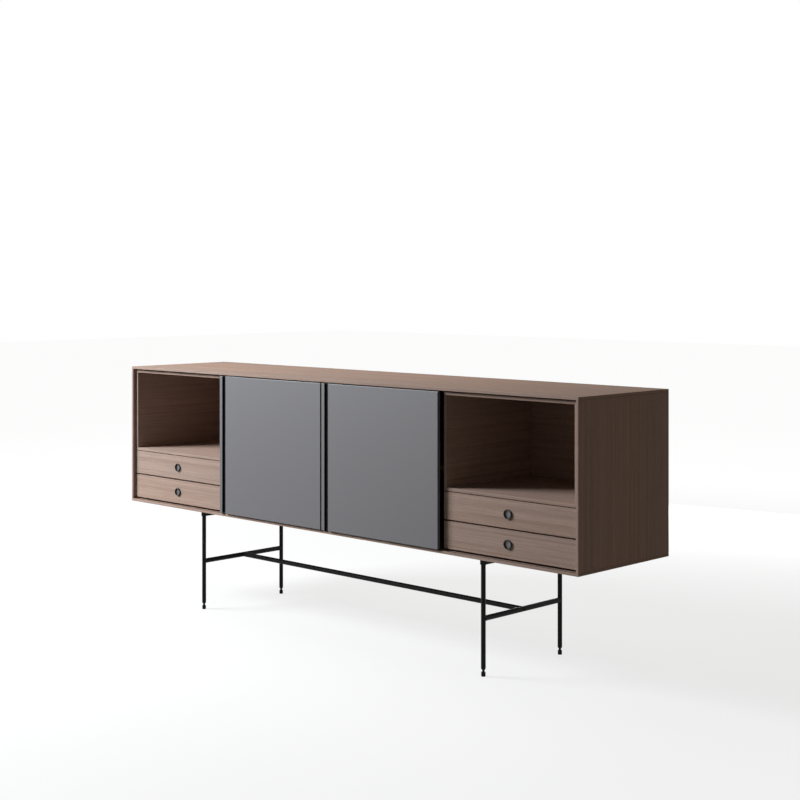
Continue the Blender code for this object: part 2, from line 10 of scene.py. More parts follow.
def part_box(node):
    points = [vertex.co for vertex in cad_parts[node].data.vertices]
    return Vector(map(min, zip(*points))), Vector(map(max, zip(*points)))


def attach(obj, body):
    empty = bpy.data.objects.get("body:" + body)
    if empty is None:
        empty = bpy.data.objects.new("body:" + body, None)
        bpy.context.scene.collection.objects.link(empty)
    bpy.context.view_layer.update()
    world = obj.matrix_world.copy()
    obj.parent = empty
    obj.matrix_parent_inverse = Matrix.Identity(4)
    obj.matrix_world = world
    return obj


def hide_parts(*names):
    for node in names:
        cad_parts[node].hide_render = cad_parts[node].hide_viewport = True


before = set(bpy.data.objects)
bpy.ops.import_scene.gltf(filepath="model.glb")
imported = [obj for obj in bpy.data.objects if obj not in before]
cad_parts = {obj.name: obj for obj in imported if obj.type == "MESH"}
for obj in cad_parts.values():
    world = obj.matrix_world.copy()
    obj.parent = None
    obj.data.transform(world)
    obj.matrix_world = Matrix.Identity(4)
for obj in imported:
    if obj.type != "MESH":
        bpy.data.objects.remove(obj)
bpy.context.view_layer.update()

SIDES = {"left": -1, "right": 1}
LEVELS = ("lower", "upper")
ENDS = ("front", "back")

# Camera, as fitted to the photograph
CAMERA_PLACE = (3.5131, -3.6704, 1.1801)
CAMERA_YAW = 45.62
FOCAL_PIXELS = 1524.0
FRAME_PIXELS = 800
SENSOR_WIDTH = 36.0
CENTRE_PIXEL = (319.9, 276.2)

# Facets round the turned and drawn pieces, and across a rounded edge
ROD_STEPS = 48
RING_STEPS = 72
BOLT_STEPS = 36
SCREW_STEPS = 24
EDGE_STEPS = 3

# The most that rounding a corner takes of the lines beside it, as a share of each
CORNER_SHARE = 0.45

# Edges that turn by more than this stay crisp, and points closer than this are one
SHARP_ANGLE = math.radians(35)
SLIVER = 1e-6

# sRGB colours
VENEER_LIGHT = (181, 159, 146)
VENEER_DARK = (146, 123, 110)
VENEER_PORE = (106, 86, 75)
PLY_LIGHT = (205, 181, 148)
PLY_DARK = (176, 148, 114)
PLY_PORE = (150, 120, 88)
LACQUER = (89, 88, 91)
BLACK_COAT = (16, 16, 17)
BLACK_ANODISED = (13, 13, 14)
ZINC = (165, 166, 168)
NYLON = (34, 34, 36)


def linear(colour):
    """An 8-bit sRGB colour as linear RGBA."""
    shares = [channel / 255 for channel in colour]
    return (*[s / 12.92 if s <= 0.04045 else ((s + 0.055) / 1.055) ** 2.4 for s in shares], 1.0)


# Material helpers

def add(tree, kind, inputs=None, **settings):
    """Adds a node, sets its options, and links or sets each input that is named."""
    made = tree.nodes.new(kind)
    for option, value in settings.items():
        setattr(made, option, value)
    for name, value in (inputs or {}).items():
        if isinstance(value, bpy.types.NodeSocket):
            tree.links.new(value, made.inputs[name])
        else:
            made.inputs[name].default_value = value
    return made


def new_material(name, roughness, metallic=0.0, specular=0.5):
    """A material with its node tree and its shader."""
    material = bpy.data.materials.new(name)
    material.use_nodes = True
    shader = material.node_tree.nodes["Principled BSDF"]
    shader.inputs["Roughness"].default_value = roughness
    shader.inputs["Metallic"].default_value = metallic
    shader.inputs["Specular IOR Level"].default_value = specular
    return material, material.node_tree, shader


# Cycles a metre in the fine surface texture of a finish
GRAIN_SCALE = 900.0


def plain(name, colour, roughness, metallic=0.0, specular=0.5, grain=0.0):
    """A finish of one colour. grain is the depth of its fine surface texture in metres."""
    material, tree, shader = new_material(name, roughness, metallic, specular)
    shader.inputs["Base Color"].default_value = linear(colour)
    if grain:
        place = add(tree, "ShaderNodeTexCoord").outputs["Object"]
        noise = add(tree, "ShaderNodeTexNoise", {"Vector": place, "Scale": GRAIN_SCALE, "Detail": 2.0})
        height = noise.outputs["Fac"]
        bump = add(tree, "ShaderNodeBump", {"Height": height, "Distance": grain, "Strength": 1.0})
        tree.links.new(bump.outputs["Normal"], shader.inputs["Normal"])
    return material


def along_axis(tree, parts, axis):
    """The position with its component along the grain first."""
    order = {"X": "XYZ", "Y": "YZX", "Z": "ZXY"}[axis]
    inputs = {place: parts.outputs[source] for place, source in zip("XYZ", order)}
    return add(tree, "ShaderNodeCombineXYZ", inputs).outputs["Vector"]


def stretched_noise(tree, vector, along, across, detail, roughness=0.55):
    """Noise with so many cycles a metre along the grain and across it."""
    scaled = add(tree, "ShaderNodeMapping", {"Vector": vector, "Scale": (along, across, across)})
    noise = add(
        tree, "ShaderNodeTexNoise",
        {"Vector": scaled.outputs["Vector"], "Scale": 1.0, "Detail": detail, "Roughness": roughness},
    )
    return noise.outputs["Fac"]


def ramp(tree, factor, *stops):
    """A colour ramp through (position, colour) stops."""
    made = add(tree, "ShaderNodeValToRGB", {"Fac": factor})
    elements = made.color_ramp.elements
    while len(elements) < len(stops):
        elements.new(0.5)
    for element, (position, colour) in zip(elements, stops):
        element.position = position
        element.color = colour
    return made.outputs["Color"]


def grey(level):
    """A linear grey."""
    return (level, level, level, 1.0)


def mix_colours(tree, factor, first, second, blend="MIX"):
    """The first colour with so much of the second mixed or blended in."""
    made = add(tree, "ShaderNodeMix", data_type="RGBA", blend_type=blend)
    for socket, value in ((made.inputs[0], factor), (made.inputs[6], first), (made.inputs[7], second)):
        if isinstance(value, bpy.types.NodeSocket):
            tree.links.new(value, socket)
        else:
            socket.default_value = value
    return made.outputs[2]


# Wood

WOOD_ROUGHNESS = 0.7
SEED_STEP = (1.7, 0.31, 0.53)

# A face looks along an axis where its normal has at least this share on it
FACING_SHARE = 0.7

# Cycles a metre along the grain and across it
DRIFT = (1.3, 5.0)
FIGURE = (0.45, 150.0)
BANDS = (0.35, 45.0)
CLOUD = (0.8, 7.0)
FIBRE = (9.0, 620.0)
PORES = (110.0, 3000.0)

# How far the grain sways to the side and how deep its fibres are, in metres, and how strongly they show
DRIFT_REACH = 0.012
FIBRE_DEPTH = 0.00008
FIBRE_STRENGTH = 0.6

# Linear tones that a board takes on, from noise value to noise value
TINT_COOL = (0.97, 0.98, 1.0, 1.0)
TINT_WARM = (1.04, 1.0, 0.97, 1.0)
FIGURE_RANGE = (0.20, 0.72)
BAND_TONES = ((0.36, grey(0.96)), (0.62, grey(1.03)))
CLOUD_TONES = ((0.35, TINT_COOL), (0.65, TINT_WARM))
FIBRE_TONES = ((0.3, grey(0.88)), (0.7, grey(1.06)))

# How much of the pores' own colour shows, from noise value to noise value
PORE_SHARES = ((0.60, grey(0.0)), (0.68, grey(0.55)))


def looks_along(tree, facing, axis):
    """1 on the faces that look along the axis, either way, and 0 on the others."""
    share = add(tree, "ShaderNodeMath", {0: facing.outputs[axis]}, operation="ABSOLUTE")
    test = add(tree, "ShaderNodeMath", {0: share.outputs[0], 1: FACING_SHARE}, operation="GREATER_THAN")
    return test.outputs[0]


def wood(name, grain, edge, seed, colours=(VENEER_LIGHT, VENEER_DARK, VENEER_PORE)):
    """Straight-grained wood: grain is the axis it runs along, edge the axis on the faces square to that."""
    light, dark, pore = (linear(colour) for colour in colours)
    material, tree, shader = new_material(name, WOOD_ROUGHNESS, specular=0.0)
    coordinates = add(tree, "ShaderNodeTexCoord")
    place = add(tree, "ShaderNodeSeparateXYZ", {"Vector": coordinates.outputs["Object"]})
    facing = add(tree, "ShaderNodeSeparateXYZ", {"Vector": coordinates.outputs["Normal"]})
    end_grain = looks_along(tree, facing, grain)
    vector = add(
        tree, "ShaderNodeMix",
        {"Factor": end_grain, 4: along_axis(tree, place, grain), 5: along_axis(tree, place, edge)},
        data_type="VECTOR",
    ).outputs[1]
    board = tuple(seed * step for step in SEED_STEP)
    vector = add(tree, "ShaderNodeVectorMath", {0: vector, 1: board}).outputs[0]

    drift = stretched_noise(tree, vector, *DRIFT, detail=2.0)
    drift = add(tree, "ShaderNodeMath", {0: drift, 1: 0.5}, operation="SUBTRACT").outputs[0]
    drift = add(tree, "ShaderNodeMath", {0: drift, 1: DRIFT_REACH}, operation="MULTIPLY").outputs[0]
    sway = add(tree, "ShaderNodeCombineXYZ", {"Y": drift, "Z": drift}).outputs["Vector"]
    vector = add(tree, "ShaderNodeVectorMath", {0: vector, 1: sway}).outputs[0]

    figure = stretched_noise(tree, vector, *FIGURE, detail=4.0, roughness=0.75)
    bands = stretched_noise(tree, vector, *BANDS, detail=2.0, roughness=0.6)
    cloud = stretched_noise(tree, vector, *CLOUD, detail=1.0)
    fibre = stretched_noise(tree, vector, *FIBRE, detail=2.0, roughness=0.5)
    pores = stretched_noise(tree, vector, *PORES, detail=1.0)
    colour = ramp(tree, figure, (FIGURE_RANGE[0], dark), (FIGURE_RANGE[1], light))
    for noise, tones in ((bands, BAND_TONES), (cloud, CLOUD_TONES), (fibre, FIBRE_TONES)):
        colour = mix_colours(tree, 1.0, colour, ramp(tree, noise, *tones), "MULTIPLY")
    colour = mix_colours(tree, ramp(tree, pores, *PORE_SHARES), colour, pore)
    tree.links.new(colour, shader.inputs["Base Color"])
    relief = {"Height": fibre, "Distance": FIBRE_DEPTH, "Strength": FIBRE_STRENGTH}
    bump = add(tree, "ShaderNodeBump", relief)
    tree.links.new(bump.outputs["Normal"], shader.inputs["Normal"])
    return material


# Plywood of the drawer boxes: its wall, and its layers
BOX_WALL = 0.012
PLY_LAYER = 0.0024
PLY_TONES = ((0.42, grey(0.72)), (0.58, grey(1.0)))


def plywood(name, grain, seed, middle, wall_x):
    """Birch plywood for a drawer box: its layers show on the edges that face up or down.

    Beyond wall_x from the middle the walls run front to back, so their layers lie side by side along X.
    """
    material = wood(name, grain, "Y", seed, (PLY_LIGHT, PLY_DARK, PLY_PORE))
    tree = material.node_tree
    shader = tree.nodes["Principled BSDF"]
    face_colour = shader.inputs["Base Color"].links[0].from_socket
    coordinates = add(tree, "ShaderNodeTexCoord")
    place = add(tree, "ShaderNodeSeparateXYZ", {"Vector": coordinates.outputs["Object"]})
    facing = add(tree, "ShaderNodeSeparateXYZ", {"Vector": coordinates.outputs["Normal"]})
    offset = add(tree, "ShaderNodeMath", {0: place.outputs["X"], 1: middle}, operation="SUBTRACT")
    offset = add(tree, "ShaderNodeMath", {0: offset.outputs[0]}, operation="ABSOLUTE")
    on_side = add(tree, "ShaderNodeMath", {0: offset.outputs[0], 1: wall_x}, operation="GREATER_THAN")
    across = add(
        tree, "ShaderNodeMix", {0: on_side.outputs[0], 2: place.outputs["Y"], 3: place.outputs["X"]},
        data_type="FLOAT",
    )
    layer = add(tree, "ShaderNodeMath", {0: across.outputs[0], 1: PLY_LAYER}, operation="PINGPONG")
    layer = add(tree, "ShaderNodeMath", {0: layer.outputs[0], 1: PLY_LAYER}, operation="DIVIDE")
    layered = mix_colours(tree, 1.0, face_colour, ramp(tree, layer.outputs[0], *PLY_TONES), "MULTIPLY")
    colour = mix_colours(tree, looks_along(tree, facing, "Z"), face_colour, layered)
    tree.links.new(colour, shader.inputs["Base Color"])
    return material


def paint_node(node, material):
    """Gives a CAD node its finish."""
    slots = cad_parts[node].data.materials
    slots.clear()
    slots.append(material)


# Mesh helpers

def make_object(name, mesh, material):
    """An object of the mesh in one finish, smooth between its sharp edges."""
    piece = bpy.data.objects.new(name, mesh)
    bpy.context.scene.collection.objects.link(piece)
    mesh.materials.clear()
    mesh.materials.append(material)
    mesh.shade_smooth()
    mesh.set_sharp_from_angle(angle=SHARP_ANGLE)
    return piece


def mesh_from(shape, name, matrix=None):
    """A mesh of the shape, which is put in its place first and is used up."""
    if matrix:
        bmesh.ops.transform(shape, matrix=matrix, verts=shape.verts)
    mesh = bpy.data.meshes.new(name)
    shape.to_mesh(mesh)
    shape.free()
    return mesh


def turned_mesh(name, profile, steps, matrix=None):
    """A solid of revolution about Z from (radius, height) points, top of the axis to its bottom."""
    shape = bmesh.new()
    points = [shape.verts.new((radius, 0.0, height)) for radius, height in profile]
    lines = [shape.edges.new(pair) for pair in zip(points, points[1:])]
    bmesh.ops.spin(
        shape, geom=points + lines, axis=(0, 0, 1), cent=(0, 0, 0), angle=2 * math.pi, steps=steps,
        use_merge=True,
    )
    bmesh.ops.remove_doubles(shape, verts=shape.verts, dist=SLIVER)
    bmesh.ops.recalc_face_normals(shape, faces=shape.faces)
    return mesh_from(shape, name, matrix)


def rounded(profile, radius, steps=4):
    """The profile with each of its inner corners rounded."""
    points = [Vector(point) for point in profile]
    made = [points[0]]
    for before, corner, after in zip(points, points[1:], points[2:]):
        first, second = before - corner, after - corner
        reach = min(radius, first.length * CORNER_SHARE, second.length * CORNER_SHARE)
        start = corner + first.normalized() * reach
        end = corner + second.normalized() * reach
        for step in range(steps + 1):
            share = step / steps
            made.append(start * (1 - share) ** 2 + corner * 2 * share * (1 - share) + end * share ** 2)
    made.append(points[-1])
    return [tuple(point) for point in made]


def rod_mesh(name, start, end, radius):
    """A round rod between two points."""
    start, end = Vector(start), Vector(end)
    way = end - start
    matrix = Matrix.Translation((start + end) / 2) @ way.to_track_quat("Z", "Y").to_matrix().to_4x4()
    shape = bmesh.new()
    bmesh.ops.create_cone(
        shape, cap_ends=True, segments=ROD_STEPS, radius1=radius, radius2=radius, depth=way.length
    )
    return mesh_from(shape, name, matrix)


def block_mesh(name, low, high, edge=0.0):
    """A block between two corners, its edges rounded by the width of edge."""
    low, high = Vector(low), Vector(high)
    shape = bmesh.new()
    bmesh.ops.create_cube(shape, size=1.0)
    matrix = Matrix.Translation((low + high) / 2) @ Matrix.Diagonal((*(high - low), 1.0))
    bmesh.ops.transform(shape, matrix=matrix, verts=shape.verts)
    if edge:
        bmesh.ops.bevel(
            shape, geom=list(shape.edges), offset=edge, segments=EDGE_STEPS, affect="EDGES", profile=0.5
        )
    return mesh_from(shape, name)


def fused(name, meshes, operation="UNION"):
    """The meshes joined to the first by Boolean unions, or the others cut out of it, with no sliver left."""
    base, *others = meshes
    piece = bpy.data.objects.new(name, base)
    bpy.context.scene.collection.objects.link(piece)
    helpers = []
    for mesh in others:
        helper = bpy.data.objects.new(name + "_tool", mesh)
        bpy.context.scene.collection.objects.link(helper)
        helpers.append(helper)
        boolean = piece.modifiers.new("join", "BOOLEAN")
        boolean.operation = operation
        boolean.solver = "EXACT"
        boolean.object = helper
    graph = bpy.context.evaluated_depsgraph_get()
    shape = bmesh.new()
    shape.from_object(piece, graph)
    for thing in (piece, *helpers):
        bpy.data.objects.remove(thing)
    bmesh.ops.remove_doubles(shape, verts=shape.verts, dist=SLIVER)
    bmesh.ops.dissolve_degenerate(shape, edges=shape.edges, dist=SLIVER)
    loose = [edge for edge in shape.edges if not edge.link_faces]
    bmesh.ops.delete(shape, geom=loose, context="EDGES")
    spare = [point for point in shape.verts if len(point.link_edges) == 2]
    bmesh.ops.dissolve_verts(shape, verts=spare)
    bmesh.ops.triangulate(shape, faces=shape.faces)
    return mesh_from(shape, name)


def centre(node):
    """The middle of a CAD node's box."""
    low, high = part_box(node)
    return (low + high) / 2


# Finishes

# Seeds of the drawer boxes' grain, past those of the boards, which count up from 1
BASE_SEED = 41
BOX_SEED = 50

steel = plain("black_powder_coat", BLACK_COAT, roughness=0.45, specular=0.1, grain=0.00002)
anodised = plain("black_anodised", BLACK_ANODISED, roughness=0.38, specular=0.4)
lacquer = plain("grey_lacquer", LACQUER, roughness=0.48, specular=0.80, grain=0.00001)
zinc = plain("zinc", ZINC, roughness=0.34, metallic=1.0)
nylon = plain("black_nylon", NYLON, roughness=0.55)
ring_black = plain("ring_black", BLACK_ANODISED, roughness=0.34)


def finish_wood():
    """Veneer on each board, with its grain along the board."""
    boards = {
        "top_panel": ("X", "Y"),
        "bottom_panel": ("X", "Y"),
        "back_panel": ("X", "Z"),
        "centre_divider": ("Y", "Z"),
        "left_side_panel": ("Z", "Y"),
        "right_side_panel": ("Z", "Y"),
        "left_shelf": ("X", "Y"),
        "right_shelf": ("X", "Y"),
    }
    for name in SIDES:
        boards[f"{name}_unit_top"] = ("X", "Y")
        boards[f"{name}_niche_floor"] = ("X", "Y")
        boards[f"{name}_unit_inner_wall"] = ("Y", "Z")
        boards[f"{name}_unit_outer_wall"] = ("Y", "Z")
        for level in LEVELS:
            boards[f"{name}_{level}_drawer_front"] = ("X", "Z")
    for seed, (node, (grain, edge)) in enumerate(boards.items(), 1):
        paint_node(node, wood(f"veneer_{node}", grain, edge, seed))
    base_wood = wood("drawer_base_wood", "X", "Y", BASE_SEED, (PLY_LIGHT, PLY_DARK, PLY_PORE))
    for seed, name in enumerate(SIDES, BOX_SEED):
        low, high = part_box(f"{name}_lower_drawer_box")
        wall_x = (high.x - low.x) / 2 - BOX_WALL
        box_wood = plywood(f"{name}_box_plywood", "X", seed, (low.x + high.x) / 2, wall_x)
        for level in LEVELS:
            paint_node(f"{name}_{level}_drawer_box", box_wood)
            paint_node(f"{name}_{level}_drawer_base", base_wood)


def finish_doors():
    """Lacquer on the doors, black metal on their tracks and grips, and nylon glides."""
    for where in ("top", "bottom"):
        paint_node(f"door_{where}_track", anodised)
    for name in SIDES:
        paint_node(f"{name}_door_panel", lacquer)
        paint_node(f"{name}_door_grip", anodised)
        for level in LEVELS:
            for number in (1, 2):
                paint_node(f"{name}_door_{level}_glide_{number}", nylon)


# Steel base

LEG_RADIUS = 0.0071
BAR_RADIUS = 0.0081
BAR_EDGE = 0.001
LEG_CHAMFER = 0.0035
LEG_END_RADIUS = 0.0055
SOCKET_RADIUS = 0.0043
STUD_GAP = 0.0003
WELD_RADIUS = 0.0008
WELD_STEPS = 48
WELD_SIDES = 10

# How far the stretcher stops short of each crossbar's axis
STRETCHER_SHORT = BAR_RADIUS / 3


def weld_mesh(name, points):
    """A closed ring of bead through the points."""
    shape = bmesh.new()
    count = len(points)
    rings = []
    for index, point in enumerate(points):
        way = (points[(index + 1) % count] - points[index - 1]).normalized()
        outward = (point - sum(points, Vector()) / count).normalized()
        side = way.cross(outward).normalized()
        up = side.cross(way)
        turns = [2 * math.pi * step / WELD_SIDES for step in range(WELD_SIDES)]
        ring = [point + WELD_RADIUS * (side * math.cos(t) + up * math.sin(t)) for t in turns]
        rings.append([shape.verts.new(place) for place in ring])
    for index in range(count):
        near, far = rings[index], rings[(index + 1) % count]
        for step in range(WELD_SIDES):
            after = (step + 1) % WELD_SIDES
            shape.faces.new((near[step], near[after], far[after], far[step]))
    bmesh.ops.recalc_face_normals(shape, faces=shape.faces)
    return mesh_from(shape, name)


def crossbar_weld(middle, way):
    """The bead where a crossbar meets a leg: it follows the curve in which the two rods cut each other."""
    turns = [2 * math.pi * step / WELD_STEPS for step in range(WELD_STEPS)]
    return [
        middle + Vector((
            BAR_RADIUS * math.cos(t),
            way * math.sqrt(max(0.0, LEG_RADIUS ** 2 - (BAR_RADIUS * math.cos(t)) ** 2)),
            BAR_RADIUS * math.sin(t),
        ))
        for t in turns
    ]


def joined(name, meshes):
    """The meshes in one mesh, each shell as it is."""
    shape = bmesh.new()
    for mesh in meshes:
        shape.from_mesh(mesh)
    return mesh_from(shape, name)


def build_leg_frame(name, bar_z):
    """Two legs, a flat top rail and a crossbar, with a weld at each joint."""
    node = f"{name}_leg_frame"
    low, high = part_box(node)
    radius = LEG_RADIUS
    x = (high.x + low.x) / 2
    rail_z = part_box(f"front_{name}_frame_screw")[0].z
    feet = [centre(f"{end}_{name}_levelling_foot") for end in ENDS]
    socket_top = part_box(f"front_{name}_levelling_foot")[1].z + STUD_GAP
    rail_low = (x - radius, feet[0].y - radius, rail_z)
    rail_high = (x + radius, feet[1].y + radius, high.z)
    parts = [block_mesh("rail", rail_low, rail_high, BAR_EDGE)]
    for foot in feet:
        profile = [
            (0.0, rail_z + radius), (radius, rail_z + radius), (radius, low.z + LEG_CHAMFER),
            (LEG_END_RADIUS, low.z), (SOCKET_RADIUS, low.z), (SOCKET_RADIUS, socket_top), (0.0, socket_top),
        ]
        parts.append(turned_mesh("leg", profile, ROD_STEPS, Matrix.Translation((foot.x, foot.y, 0.0))))
    parts.append(rod_mesh("crossbar", (x, feet[0].y, bar_z), (x, feet[1].y, bar_z), BAR_RADIUS))
    frame_mesh = fused(f"{name}_frame_rods", parts)
    welds = []
    for foot, way in zip(feet, (1, -1)):
        curve = crossbar_weld(Vector((x, foot.y, bar_z)), way)
        welds.append(weld_mesh("crossbar_weld", curve))
        around = [
            Vector((x + radius * math.cos(t), foot.y + radius * math.sin(t), rail_z))
            for t in (2 * math.pi * step / WELD_STEPS for step in range(WELD_STEPS))
        ]
        welds.append(weld_mesh("rail_weld", around))
    mesh = joined(f"{name}_welded_frame", [frame_mesh, *welds])
    piece = make_object(f"{name}_welded_frame", mesh, steel)
    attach(piece, "cabinet")
    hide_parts(node)


HEX_REACH = 0.0022
HEX_DEPTH = 0.0016
BOLT_ROUND = 0.0006
BOLT_SHANK_RADIUS = 0.0025
BOLT_HEAD_HEIGHT = 0.0028
BOLT_SEAT = 0.0012


def build_stretcher_bolt(name, side):
    """A socket-head bolt through the crossbar, its axis along the stretcher."""
    node = f"{name}_stretcher_bolt"
    low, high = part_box(node)
    middle = (low + high) / 2
    head_radius = (high.z - low.z) / 2
    tip = high.x - low.x
    profile = [
        (0.0, 0.0), (head_radius, 0.0), (head_radius, -BOLT_HEAD_HEIGHT),
        (BOLT_SHANK_RADIUS, -BOLT_HEAD_HEIGHT), (BOLT_SHANK_RADIUS, -tip), (0.0, -tip),
    ]
    outer_x = centre(f"{name}_leg_frame").x + side * (BAR_RADIUS - BOLT_SEAT + BOLT_HEAD_HEIGHT)
    matrix = Matrix.Translation((outer_x, middle.y, middle.z)) @ Matrix.Rotation(side * math.pi / 2, 4, "Y")
    bolt = turned_mesh("bolt", rounded(profile, BOLT_ROUND), BOLT_STEPS, matrix)
    shape = bmesh.new()
    bmesh.ops.create_cone(
        shape, cap_ends=True, segments=6, radius1=HEX_REACH, radius2=HEX_REACH, depth=2 * HEX_DEPTH,
        matrix=matrix,
    )
    socket = mesh_from(shape, "hexagon")
    mesh = fused(f"{name}_socket_bolt", [bolt, socket], "DIFFERENCE")
    piece = make_object(f"{name}_socket_bolt", mesh, steel)
    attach(piece, "cabinet")
    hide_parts(node)


def build_base():
    """Both leg frames and the stretcher between their crossbars."""
    middle = centre("long_stretcher")
    for name, side in SIDES.items():
        build_leg_frame(name, middle.z)
        build_stretcher_bolt(name, side)
    end_x = centre("right_leg_frame").x - STRETCHER_SHORT
    start, end = (-end_x, middle.y, middle.z), (end_x, middle.y, middle.z)
    mesh = rod_mesh("stretcher_rod", start, end, BAR_RADIUS)
    piece = make_object("stretcher_rod", mesh, steel)
    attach(piece, "cabinet")
    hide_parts("long_stretcher")


# Levelling feet

PAD_HEIGHT = 0.0145
PAD_SHOULDER = 0.0028
PAD_EDGE = 0.0012
PAD_ROUND = 0.0006

# How far in the middle of the shoulder lies, as a share of its size
SHOULDER_CURVE = 0.28

STUD_RADIUS = 0.004
STUD_SUNK = 0.002
THREAD_PITCH = 0.001
THREAD_DEPTH = 0.00045

# Rows of points to a pitch, and points to a row
THREAD_ROWS = 4
THREAD_STEPS = 24


def thread_mesh(name, radius, low, high, matrix):
    """A threaded stud: its surface rises and falls once a pitch, and the crest climbs as it turns."""
    rows = round((high - low) / THREAD_PITCH * THREAD_ROWS)
    shape = bmesh.new()
    rings = []
    for row in range(rows + 1):
        height = low + (high - low) * row / rows
        ring = []
        for step in range(THREAD_STEPS):
            turn = 2 * math.pi * step / THREAD_STEPS
            phase = ((height - low) / THREAD_PITCH - step / THREAD_STEPS) % 1.0
            depth = THREAD_DEPTH * abs(2 * phase - 1)
            if row in (0, rows):
                depth = THREAD_DEPTH
            ring.append(shape.verts.new((
                (radius - depth) * math.cos(turn), (radius - depth) * math.sin(turn), height
            )))
        rings.append(ring)
    for near, far in zip(rings, rings[1:]):
        for step in range(THREAD_STEPS):
            after = (step + 1) % THREAD_STEPS
            shape.faces.new((near[step], near[after], far[after], far[step]))
    shape.faces.new(rings[0])
    shape.faces.new(rings[-1])
    bmesh.ops.recalc_face_normals(shape, faces=shape.faces)
    return mesh_from(shape, name, matrix)


def build_feet():
    """A turned pad on a threaded stud, at the end of each leg."""
    for name in SIDES:
        for end in ENDS:
            node = f"{end}_{name}_levelling_foot"
            low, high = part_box(node)
            radius = (high.x - low.x) / 2
            middle = (low + high) / 2
            profile = [
                (0.0, PAD_HEIGHT), (radius - PAD_SHOULDER, PAD_HEIGHT),
                (radius - SHOULDER_CURVE * PAD_SHOULDER, PAD_HEIGHT - SHOULDER_CURVE * PAD_SHOULDER),
                (radius, PAD_HEIGHT - PAD_SHOULDER), (radius, PAD_EDGE), (radius - PAD_EDGE, 0.0), (0.0, 0.0),
            ]
            matrix = Matrix.Translation((middle.x, middle.y, 0.0))
            pad = turned_mesh("pad", rounded(profile, PAD_ROUND), ROD_STEPS, matrix)
            stud = thread_mesh("stud", STUD_RADIUS, PAD_HEIGHT - STUD_SUNK, high.z, matrix)
            mesh = joined(f"{end}_{name}_foot_pad", [pad, stud])
            piece = make_object(f"{end}_{name}_foot_pad", mesh, steel)
            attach(piece, f"{end}_{name}_foot")
            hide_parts(node)


# Ring pulls

RIM_WALL = 0.0014
RIM_ROUND = 0.00035
FLANGE_HEIGHT = 0.0047
DISH_DEPTH = 0.0061
DISC_HEIGHT = 0.0008
DISC_GAP = 0.0001
DISC_ROUND = 0.0002
BARREL_STEP = 0.0008


def build_ring_pulls():
    """A thin black ring that stands proud of the drawer, with a grey disc on its floor."""
    for name in SIDES:
        for level in LEVELS:
            node = f"{name}_{level}_ring_pull"
            low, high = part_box(node)
            middle = (low + high) / 2
            outer = (high.x - low.x) / 2
            inner = outer - RIM_WALL
            barrel = outer - BARREL_STEP
            depth = high.y - low.y
            profile = [
                (0.0, -DISH_DEPTH), (inner, -DISH_DEPTH), (inner, 0.0), (outer, 0.0), (outer, -FLANGE_HEIGHT),
                (barrel, -FLANGE_HEIGHT), (barrel, -depth), (0.0, -depth),
            ]
            matrix = Matrix.Translation((middle.x, low.y, middle.z)) @ Matrix.Rotation(math.pi / 2, 4, "X")
            mesh = turned_mesh(f"{name}_{level}_pull", rounded(profile, RIM_ROUND), RING_STEPS, matrix)
            piece = make_object(f"{name}_{level}_pull", mesh, ring_black)
            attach(piece, f"{name}_{level}_drawer")
            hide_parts(node)
            disc_back = -DISH_DEPTH + DISC_GAP
            disc_profile = [
                (0.0, disc_back + DISC_HEIGHT), (inner - DISC_GAP, disc_back + DISC_HEIGHT),
                (inner - DISC_GAP, disc_back), (0.0, disc_back),
            ]
            disc_name = f"{name}_{level}_pull_disc"
            disc = turned_mesh(disc_name, rounded(disc_profile, DISC_ROUND), RING_STEPS, matrix)
            piece = make_object(disc_name, disc, lacquer)
            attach(piece, f"{name}_{level}_drawer")


# Screws

SCREW_HEAD_RADIUS = 0.0036
SCREW_HEAD_HEIGHT = 0.0013
SCREW_ROUND = 0.0004

# Shares of the head's radius and height, from its top to its seat
SCREW_SHAPE = ((0.0, 1.0), (0.6, 0.92), (1.0, 0.35), (1.0, 0.0), (0.0, 0.0))
CROSS_LENGTH = 0.0040
CROSS_WIDTH = 0.0009
CROSS_DEPTH = 0.0009


def screw_head():
    """A raised countersunk head with a cross recess, its face towards +Z and its seat at zero."""
    profile = [(radius * SCREW_HEAD_RADIUS, height * SCREW_HEAD_HEIGHT) for radius, height in SCREW_SHAPE]
    head = turned_mesh("head", rounded(profile, SCREW_ROUND, steps=2), SCREW_STEPS)
    half, width = CROSS_LENGTH / 2, CROSS_WIDTH / 2
    floor = SCREW_HEAD_HEIGHT - CROSS_DEPTH
    slots = [
        block_mesh("slot", (-half, -width, floor), (half, width, 2 * SCREW_HEAD_HEIGHT)),
        block_mesh("slot", (-width, -half, floor), (width, half, 2 * SCREW_HEAD_HEIGHT)),
    ]
    return fused("screw_head", [head, *slots], "DIFFERENCE")


